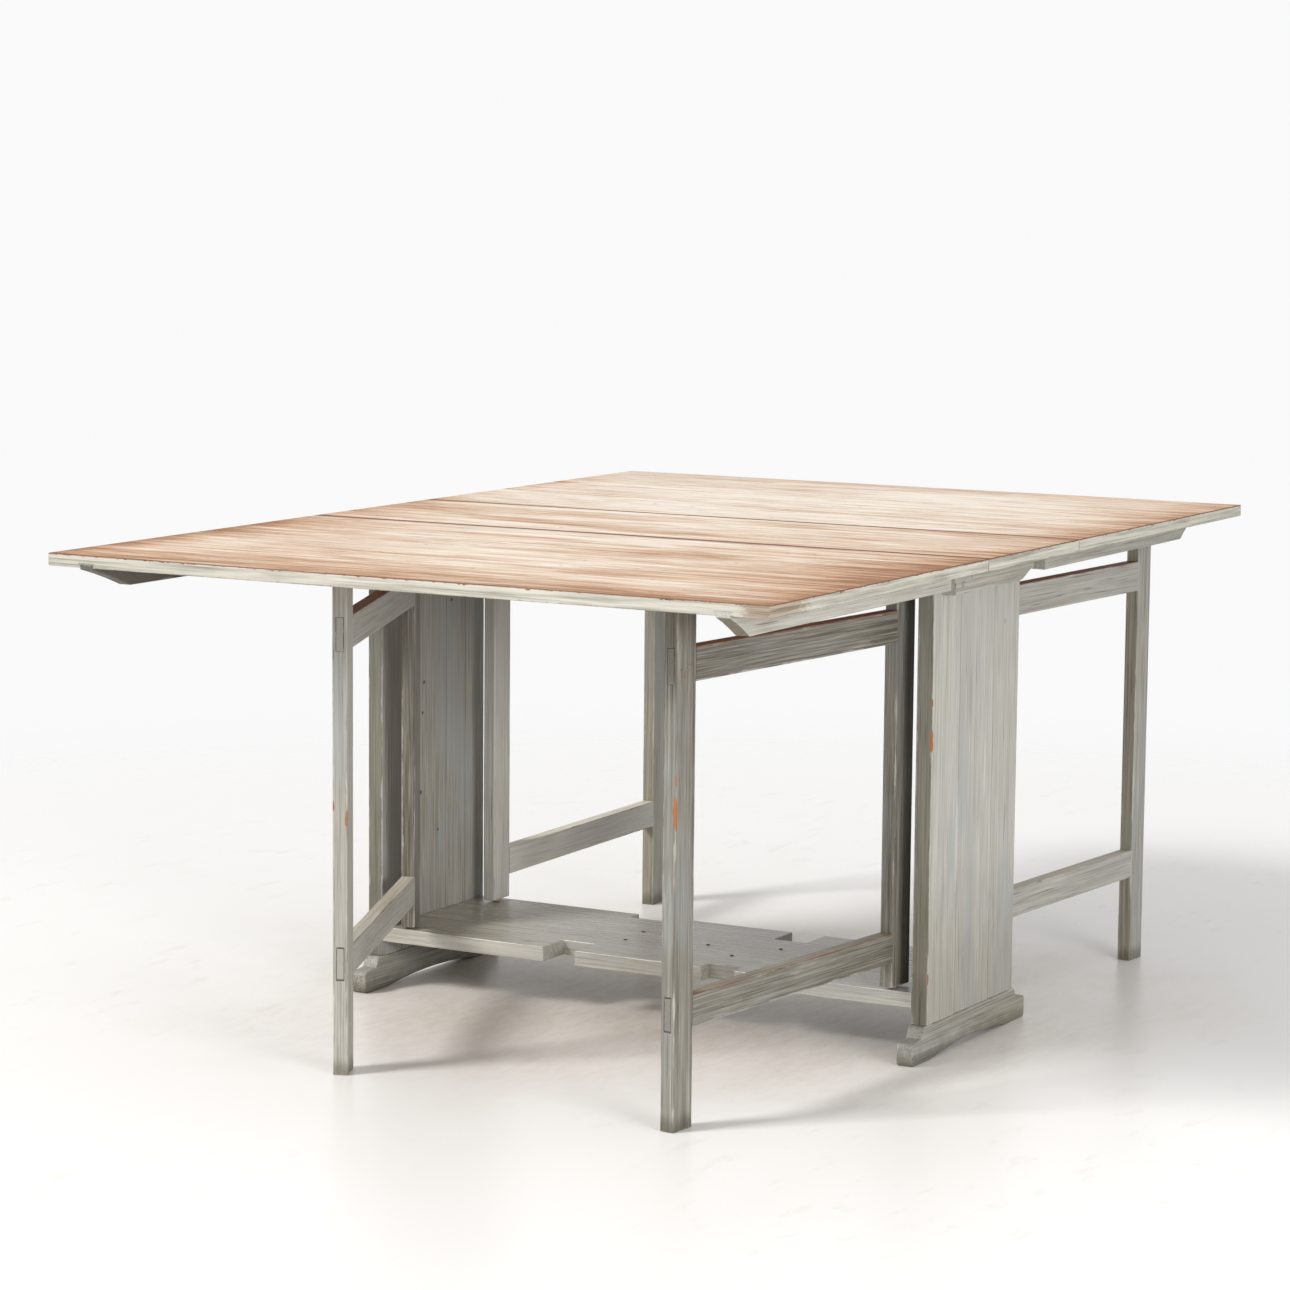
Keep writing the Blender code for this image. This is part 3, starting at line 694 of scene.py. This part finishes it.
    # Painted edges: grain lines run along the board on its long edges and across it on its ends
    along = g.noise(world, (6, 300, 330), seed + 5, 4, 0.65)
    across = g.noise(world, (300, 6, 330), seed + 6, 4, 0.65)
    on_end = g.step(g.math("ABSOLUTE", nx), 0.5, 0.8)
    lines = g.mix_value(on_end, along, across)
    long_wave = g.noise(world, (7, 7, 60), seed + 7, 3)
    edge = g.ramp(
        g.blend(((lines, 0.7), (long_wave, 0.4))),
        (
            (0.38, top.edge_line),
            (0.50, (0.45, 0.435, 0.375)),
            (0.60, top.edge),
            (0.76, (0.70, 0.68, 0.615)),
        ),
    )
    rim_top = g.math("SUBTRACT", half.z, z)
    chips = g.noise(world, (85, 85, 260), seed + 8, 4, 0.65)
    rim_edge = g.math("MULTIPLY_ADD", chips, -0.013, g.math("ADD", rim_top, 0.0062))
    chipped = g.step(rim_edge, 0.0013, 0.0003)
    wood = g.mix(g.step(lines, 0.4, 0.6), (0.085, 0.05, 0.033), (0.30, 0.165, 0.09))
    edge = g.mix(chipped, edge, wood)
    low_rim = g.math("MULTIPLY_ADD", chips, 0.010, g.math("ADD", g.math("ADD", z, half.z), -0.0052))
    rubbed = g.math("MULTIPLY", g.step(low_rim, 0.0008, -0.0004), 0.6)
    edge = g.mix(rubbed, edge, (0.20, 0.15, 0.105))
    specks = g.noise(world, (240, 240, 420), seed + 12, 2, 0.5)
    edge = g.mix(g.math("MULTIPLY", g.step(specks, 0.70, 0.76), 0.7), edge, (0.16, 0.10, 0.06))
    if worn_corner:
        from_end = g.math("SUBTRACT", half.x, x)
        from_front = g.math("ADD", y, half.y)
        along_front, along_end = g.math("DIVIDE", from_end, 0.045), g.math("DIVIDE", from_front, 0.12)
        reach = g.mix_value(on_end, along_front, along_end)
        ragged = g.math("MULTIPLY_ADD", g.math("SUBTRACT", chips, 0.5), 0.9, reach)
        wear = g.math("MULTIPLY", g.step(ragged, 1.05, 0.65), 0.8)
        wood = g.mix(g.step(lines, 0.35, 0.6), (0.20, 0.135, 0.085), (0.42, 0.335, 0.245))
        edge = g.mix(wear, edge, wood)
    is_face = g.step(nz, 0.90, 0.97)
    lip = g.math("MULTIPLY", g.step(nz, 0.2, 0.35), g.step(chips, 0.62, 0.54))
    edge = g.mix(lip, edge, (0.19, 0.085, 0.048))
    under_grain = g.noise(world, (5, 240, 1), seed + 9, 4, 0.6)
    stops = ((0.3, (0.27, 0.185, 0.12)), (0.5, top.under), (0.7, (0.55, 0.45, 0.34)))
    under = g.ramp(under_grain, stops)
    side = g.mix(g.step(nz, -0.4, -0.7), edge, under)
    by_hinge = g.step(g.math("ABSOLUTE", g.parts(world)[1]), JOINT_REACH, JOINT_REACH - 0.002)
    inside = g.math("MULTIPLY", by_hinge, g.step(g.math("ABSOLUTE", nx), 0.5, 0.3))
    inside = g.math("MULTIPLY", inside, g.step(nz, -0.7, -0.4))
    side = g.mix(inside, side, (0.15, 0.058, 0.028))
    colour = g.mix(is_face, side, face)
    height = g.blend(((fine, 0.5), (streak, 0.6), (speck, -1.5), (lines, 0.3)))
    rough = g.math("MULTIPLY_ADD", streak, 0.25, top.gloss - 0.1)
    dress(node, g.finish(colour, rough, height, 0.0004, 0.24))


class TABLE_OT_top(bpy.types.Operator):
    """Finish the centre board and both leaves"""

    bl_idname = "table.top"
    bl_label = "Top Boards"

    def execute(self, context):
        make_top_finish(
            "top_centre_board", (0.75, 0.85, 0.0, 0.0), 2.0, 0.04, (0.012, 0.70, 0.008, 0.75),
            (((-0.22, -0.06), 0.05, (0.20, 1.1), 0.42), ((0.18, 0.09), 0.05, (0.25, 1.5), 0.22),
             ((0.02, -0.10), 0.04, (0.16, 1.3), 0.24)),
        )
        make_top_finish(
            "leaf_near", (0.95, 1.3, 1.0, 0.0), 5.0, 0.06, (0.001, 0.0, 0.022, 0.80),
            (((0.16, -0.37), 0.07, (0.28, 1.0), 0.20), ((-0.12, -0.56), 0.06, (0.25, 1.2), 0.14),
             ((0.30, -0.60), 0.08, (0.4, 1.0), 0.18)),
            True,
        )
        make_top_finish(
            "leaf_far", (0.6, 1.15, 0.0, 0.75), 9.0, -0.09, (0.008, 0.6, 0.001, 0.0),
            (((0.05, 0.33), 0.04, (0.2, 1.4), 0.15), ((0.30, 0.50), 0.05, (0.25, 1.2), 0.16)),
        )
        return {"FINISHED"}


class TABLE_OT_battens(bpy.types.Operator):
    """Finish the battens under the leaves"""

    bl_idname = "table.battens"
    bl_label = "Battens"

    def execute(self, context):
        for number, place in enumerate(("near_left", "near_right", "far_left", "far_right")):
            # Painted shade: the underside of each batten is painted darker
            shade = ((2, -1, (0.50, 0.45, 0.36)),)
            tone = (-0.42, 0.11, -0.06, -0.03)[number]
            painted("leaf_batten_" + place, ALONG_Y, 20 + number, tone, 0.25, wear=0.7, face_shading=shade)
        return {"FINISHED"}


# ---------------------------------------------------------------- ends and shelf

SHELF_NAILS = ((-0.085, -0.038), (-0.091, 0.030), (0.044, -0.005), (0.114, -0.058), (0.156, 0.025))
HOLE = (0.035, 0.027, 0.02)
RUSTY = (0.22, 0.075, 0.028)
# Painted shade for the narrow edges of the end panels
OLIVE_PAINTED_SHADE = (0.46, 0.45, 0.40)


class TABLE_OT_ends(bpy.types.Operator):
    """Finish the end panels, feet, bearers and pivot cleats"""

    bl_idname = "table.ends"
    bl_label = "Ends"

    def execute(self, context):
        # Painted shade: both narrow edges of each end panel are painted darker
        edge_shade = ((1, -1, OLIVE_PAINTED_SHADE), (1, 1, OLIVE_PAINTED_SHADE))
        round_spot = (1, 1, 1)
        inner_holes = [
            ((0.013, 0.052, 0.210), 0.0042, round_spot, HOLE, 0.95),
            ((0.013, -0.030, 0.085), 0.0040, round_spot, HOLE, 0.95),
            ((0.013, -0.034, 0.036), 0.0034, round_spot, HOLE, 0.95),
            ((0.013, -0.040, -0.092), 0.0052, round_spot, HOLE, 0.95),
            ((0.013, 0.012, -0.160), 0.0034, round_spot, HOLE, 0.9),
        ]
        outer_marks = [
            ((0.013, 0.100, 0.235), 0.0060, round_spot, (0.26, 0.29, 0.235), 0.7),
            ((0.013, -0.020, 0.135), 0.0070, (1, 1, 0.10), (0.20, 0.20, 0.17), 0.45),
            ((0.013, 0.035, 0.020), 0.0050, (1, 1, 0.08), (0.62, 0.61, 0.58), 0.5),
            ((0.013, -0.060, -0.070), 0.0070, (1, 1, 0.07), (0.66, 0.65, 0.62), 0.5),
        ]
        painted(
            "end_panel_left", ALONG_Z, 30, -0.05, 0.95, face_shading=edge_shade,
            marks=several(board_joints(1, (-0.074, 0.036, 0.094)), stains(inner_holes)),
        )
        chips = (
            ((0.013, -0.152, 0.085), 0.0042, 4.5),
            ((0.013, -0.152, 0.140), 0.0024, 3.0),
            ((0.013, -0.152, -0.270), 0.0024, 4.0),
        )
        painted(
            "end_panel_right", ALONG_Z, 39, 0.09, 0.85, face_shading=edge_shade, chips=chips,
            marks=several(
                board_joints(1, (-0.058, 0.061)),
                stains(outer_marks),
                dirty_foot(0.30, (0.72, 0.70, 0.66)),
            ),
        )
        for side, out, seed in (("left", -1, 52), ("right", 1, 61)):
            painted("foot_" + side, ALONG_Y, seed, -0.12, 0.45, wear=0.95, marks=dirty_foot(0.03))
            nail = [((0.0106 * out, -0.085, 0.002), 0.0030, round_spot, RUSTY, 0.8)]
            painted("bearer_" + side, ALONG_Y, seed + 2, 0.0, 0.3, marks=stains(nail))
            painted("pivot_cleat_" + side, ALONG_Y, seed + 4, -0.03, 0.3)
        return {"FINISHED"}


class TABLE_OT_shelf(bpy.types.Operator):
    """Finish the low shelf"""

    bl_idname = "table.shelf"
    bl_label = "Shelf"

    def execute(self, context):
        top = turned_box("shelf")[1].z
        holes = [((x, y, top), 0.0030, (1, 1, 1), HOLE, 0.95) for x, y in SHELF_NAILS]
        holes.append(((-0.21, -0.127, top), 0.012, (0.5, 1.2, 1), (0.16, 0.12, 0.09), 0.5))
        painted(
            "shelf", ALONG_X, 50, 0.04, 0.35, wear=1.0, contrast=0.75, sheen=0.24,
            marks=several(board_joints(1, (-0.048, 0.055), 0.0007), stains(holes)),
        )
        return {"FINISHED"}


# ---------------------------------------------------------------- gates


GATES = ("near_left", "near_right", "far_left", "far_right")


def gate_turn(gate):
    """Angle of a gate from its pivot stile to its leg."""
    leg, _ = turned_box("gate_" + gate + "_leg")
    rail, _ = turned_box("gate_" + gate + "_top_rail")
    return math.atan2(leg.y - rail.y, leg.x - rail.x)


# Tone of each member: leg, stile, top rail, bottom rail
GATE_TONES = {
    "near_left": (-0.02, -0.25, -0.01, -0.01),
    "near_right": (-0.19, -0.25, -0.25, -0.24),
    "far_left": (-0.03, 0.16, -0.01, 0.22),
    "far_right": (-0.07, -0.04, 0.01, 0.01),
}
# Chips on each leg, in its own axes: outer edge +X, sides -Y and +Y, height from its middle
LEG_CHIPS = {
    "near_left": (((0.0225, 0.0107, 0.010), 0.0034, 4.0), ((0.0225, -0.0107, 0.028), 0.0028, 3.5)),
    "near_right": (((0.0225, 0.0107, 0.075), 0.0046, 5.5), ((0.0225, 0.0107, 0.120), 0.0022, 4.0)),
    "far_left": (),
    "far_right": (((0.0225, 0.0107, -0.06), 0.0020, 3.0),),
}


class TABLE_OT_gates(bpy.types.Operator):
    """Finish the legs, stiles, rails and pins of the four gates"""

    bl_idname = "table.gates"
    bl_label = "Gates"

    def execute(self, context):
        for number, gate in enumerate(GATES):
            turn, seed = gate_turn(gate), 70 + 17 * number
            stem = "gate_" + gate + "_"
            leg, stile, top_rail, bottom_rail = GATE_TONES[gate]
            middle = turned_box(stem + "leg")[0].z
            levels = [turned_box(stem + rail)[0].z - middle for rail in ("top_rail", "bottom_rail")]
            marks = [tenon_lines(levels, 0.005, 0.0235), dirty_foot(0.035)]
            if gate == "near_right":
                marks.append(stains([
                    ((0.004, 0.0107, 0.262), 0.0055, (1.4, 1, 0.6), RUSTY, 0.6),
                    ((-0.008, 0.0107, 0.276), 0.0040, (0.6, 1, 1.6), RUSTY, 0.5),
                    ((0.012, 0.0107, 0.270), 0.0040, (1, 1, 1), (0.12, 0.09, 0.06), 0.5),
                ]))
            # Painted shade: each leg's faces towards its stile are painted darker
            painted(
                stem + "leg", ALONG_Z, seed, leg, 0.75, turn, 0.7, LEG_CHIPS[gate],
                ((0, -1, (0.8, 0.78, 0.70)),), several(*marks),
            )
            painted(stem + "stile", ALONG_Z, seed + 3, stile, 0.5, turn, 0.6)
            tint = [c * math.exp(2.6 * leg) for c in (0.34, 0.325, 0.285)]
            ends = calm_ends(tint, 0.8)
            bare_red = bare_top((0.15, 0.045, 0.022))
            red_top = several(bare_red, rust_rim(1, 0.7), rust_rim(-1, 0.7), ends)
            painted(stem + "top_rail", ALONG_X, seed + 6, top_rail, 0.4, turn, 0.6, marks=red_top)
            rust = 0.75 if gate == "near_right" else 0.25
            pale_top = several(rust_rim(1, rust), rust_rim(-1, rust), ends)
            # Painted light: the upper face of each bottom rail is painted lighter
            lit = ((2, 1, (1.25, 1.22, 1.16)),)
            painted(
                stem + "bottom_rail", ALONG_X, seed + 9, bottom_rail, 0.4, turn, 0.6,
                face_shading=lit, marks=pale_top,
            )
            for pin in ("lower_pin", "upper_pin"):
                bare(stem + pin, seed + 12)
        return {"FINISHED"}


# ---------------------------------------------------------------- ironwork


def iron(name, seed):
    g = Graph(name)
    here = g.local()
    blotch = g.noise(here, (160, 160, 160), seed, 4, 0.6)
    rust = g.noise(here, (700, 700, 700), seed + 1, 3)
    stops = ((0.35, (0.05, 0.045, 0.042)), (0.55, (0.11, 0.075, 0.055)), (0.7, (0.20, 0.09, 0.045)))
    colour = g.ramp(blotch, stops)
    rough = g.math("MULTIPLY_ADD", blotch, 0.5, 0.3)
    height = g.blend(((blotch, 0.6), (rust, 0.4)))
    bump = g.add("Bump", {"Strength": 1, "Distance": 0.0003, "Height": height})
    inputs = {"Base Color": colour, "Roughness": rough, "Metallic": 0.75, "Normal": bump.outputs[0]}
    shader = g.add("BsdfPrincipled", inputs)
    g.tree.links.new(shader.outputs[0], g.add("OutputMaterial").inputs[0])
    return g.material


class TABLE_OT_hinges(bpy.types.Operator):
    """Finish the hinges under the top"""

    bl_idname = "table.hinges"
    bl_label = "Hinges"

    def execute(self, context):
        material = iron("hinge_iron", 90)
        for gate in GATES:
            for part in ("frame_plate", "leaf_plate", "pin"):
                dress("hinge_" + gate + "_" + part, material)
        return {"FINISHED"}


# ---------------------------------------------------------------- nails and screws


NAIL_RADIUS, NAIL_RISE = 0.0032, 0.0007
PEG_RADIUS, PEG_RISE = 0.0052, 0.0012
SCREW_RADIUS, SCREW_RISE = 0.0040, 0.0008
PLATE_IRON = 0.0016
# Screws of a hinge plate: along the hinge line, and out from the plate's middle
PLATE_SCREWS = ((-0.021, 0.004), (0.0, -0.003), (0.021, 0.004))
BEARER_PEG = (-0.0995, 0.702)


def apply_modifier(piece, kind, **settings):
    bpy.ops.object.select_all(action="DESELECT")
    piece.select_set(True)
    bpy.context.view_layer.objects.active = piece
    bpy.ops.object.modifier_add(type=kind)
    modifier = piece.modifiers[-1]
    for key, value in settings.items():
        setattr(modifier, key, value)
    bpy.ops.object.modifier_apply(modifier=modifier.name)


def model_head(radius, rise):
    """Low domed head facing +Z, half of it sunk below the surface it sits on."""
    bpy.ops.object.select_all(action="DESELECT")
    bpy.ops.mesh.primitive_cylinder_add(vertices=20, radius=radius, depth=2 * rise)
    head = bpy.context.object
    bpy.ops.object.mode_set(mode="EDIT")
    bpy.ops.mesh.select_all(action="DESELECT")
    bpy.ops.object.mode_set(mode="OBJECT")
    for face in head.data.polygons:
        face.select = face.normal.z > 0.9
    bpy.ops.object.mode_set(mode="EDIT")
    bpy.ops.mesh.select_mode(type="FACE")
    for share, up in ((0.22, 0.45), (0.25, 0.22), (0.25, 0.08)):
        bpy.ops.mesh.inset(thickness=radius * share)
        bpy.ops.transform.translate(value=(0, 0, rise * up))
    bpy.ops.object.mode_set(mode="OBJECT")
    sharp = math.radians(50)
    apply_modifier(head, "BEVEL", width=rise * 0.3, segments=2, limit_method="ANGLE", angle_limit=sharp)
    return head


def model_screw(radius, rise):
    """A domed head with a slot across it."""
    screw = model_head(radius, rise)
    bpy.ops.object.select_all(action="DESELECT")
    bpy.ops.mesh.primitive_cube_add(size=1, location=(0, 0, rise * 2.0))
    cutter = bpy.context.object
    cutter.scale = (radius * 3, radius * 0.24, rise * 2.4)
    bpy.ops.object.transform_apply(location=True, rotation=False, scale=True)
    apply_modifier(screw, "BOOLEAN", object=cutter, operation="DIFFERENCE", solver="EXACT")
    bpy.data.objects.remove(cutter)
    return screw


def fasten(pattern, name, placed, body, material):
    """A copy of a head, with its place in its mesh, riding on a body."""
    piece = pattern.copy()
    piece.data = pattern.data.copy()
    piece.name = piece.data.name = name
    piece.data.transform(placed)
    bpy.context.scene.collection.objects.link(piece)
    piece.data.materials.clear()
    piece.data.materials.append(material)
    bpy.ops.object.select_all(action="DESELECT")
    piece.select_set(True)
    bpy.context.view_layer.objects.active = piece
    bpy.ops.object.shade_smooth_by_angle(angle=math.radians(35))
    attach(piece, body)


class TABLE_OT_nails(bpy.types.Operator):
    """Add the nail heads of the shelf and the peg heads of the bearers"""

    bl_idname = "table.nails"
    bl_label = "Nails and Pegs"

    def execute(self, context):
        material = iron("nail_iron", 95)
        centre, half = turned_box("shelf")
        pattern = model_head(NAIL_RADIUS, NAIL_RISE)
        for number, (x, y) in enumerate(SHELF_NAILS):
            placed = Matrix.Translation((x, y, centre.z + half.z))
            fasten(pattern, f"shelf_nail_{number + 1}", placed, "frame", material)
        bpy.data.objects.remove(pattern)
        pattern = model_head(PEG_RADIUS, PEG_RISE)
        g = Graph("peg_paint")
        colour, fine, middle, _ = paint_layers(g, g.local(), ALONG_Y, 97, -0.06, 0.4, 0.7)
        paint = g.finish(colour, 0.5, g.blend(((fine, 0.6), (middle, 0.4))), 0.0003)
        for side, out in (("left", -1), ("right", 1)):
            centre, half = turned_box("bearer_" + side)
            y, z = BEARER_PEG
            turn = Matrix.Rotation(out * math.pi / 2, 4, "Y")
            placed = Matrix.Translation((centre.x + out * half.x, out * y, z)) @ turn
            fasten(pattern, f"bearer_{side}_peg", placed, "frame", paint)
        bpy.data.objects.remove(pattern)
        return {"FINISHED"}


class TABLE_OT_screws(bpy.types.Operator):
    """Add the slotted screws of the hinge plates"""

    bl_idname = "table.screws"
    bl_label = "Hinge Screws"

    def execute(self, context):
        material = iron("screw_iron", 93)
        pattern = model_screw(SCREW_RADIUS, SCREW_RISE)
        turned = 0
        for gate in GATES:
            side = gate.split("_")[0]
            for part, body in (("frame_plate", "frame"), ("leaf_plate", "leaf_" + side)):
                centre, half = turned_box("hinge_" + gate + "_" + part)
                out = math.copysign(1.0, centre.y) * (1 if part == "leaf_plate" else -1)
                under = centre.z + half.z - PLATE_IRON
                for number, (along, across) in enumerate(PLATE_SCREWS):
                    turned += 1
                    place = (centre.x + along, centre.y + out * across, under)
                    turn = Matrix.Rotation(math.pi, 4, "X") @ Matrix.Rotation(turned * 1.1, 4, "Z")
                    name = f"hinge_{gate}_{part}_screw_{number + 1}"
                    fasten(pattern, name, Matrix.Translation(place) @ turn, body, material)
        bpy.data.objects.remove(pattern)
        return {"FINISHED"}


class TABLE_PT_panel(bpy.types.Panel):
    """Gateleg table operators"""

    bl_idname = "TABLE_PT_panel"
    bl_label = "Gateleg Table"
    bl_space_type = "VIEW_3D"
    bl_region_type = "UI"
    bl_category = "Gateleg Table"

    def draw(self, context):
        for operator in OPERATORS:
            self.layout.operator(operator.bl_idname)


OPERATORS = (
    TABLE_OT_top,
    TABLE_OT_battens,
    TABLE_OT_ends,
    TABLE_OT_shelf,
    TABLE_OT_gates,
    TABLE_OT_hinges,
    TABLE_OT_nails,
    TABLE_OT_screws,
    TABLE_OT_stage,
)
SETTINGS = {"table_paint": PaintSettings, "table_top": TopSettings, "table_stage": StageSettings}
CLASSES = (*SETTINGS.values(), *OPERATORS, TABLE_PT_panel)


def register():
    for cls in CLASSES:
        bpy.utils.register_class(cls)
    for name, group in SETTINGS.items():
        setattr(bpy.types.Scene, name, bpy.props.PointerProperty(type=group))


def unregister():
    for name in SETTINGS:
        delattr(bpy.types.Scene, name)
    for cls in reversed(CLASSES):
        bpy.utils.unregister_class(cls)


def main():
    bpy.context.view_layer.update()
    register()
    bpy.ops.table.top()
    bpy.ops.table.battens()
    bpy.ops.table.ends()
    bpy.ops.table.shelf()
    bpy.ops.table.gates()
    bpy.ops.table.hinges()
    bpy.ops.table.nails()
    bpy.ops.table.screws()
    bpy.ops.table.stage()


if __name__ == "__main__":
    main()
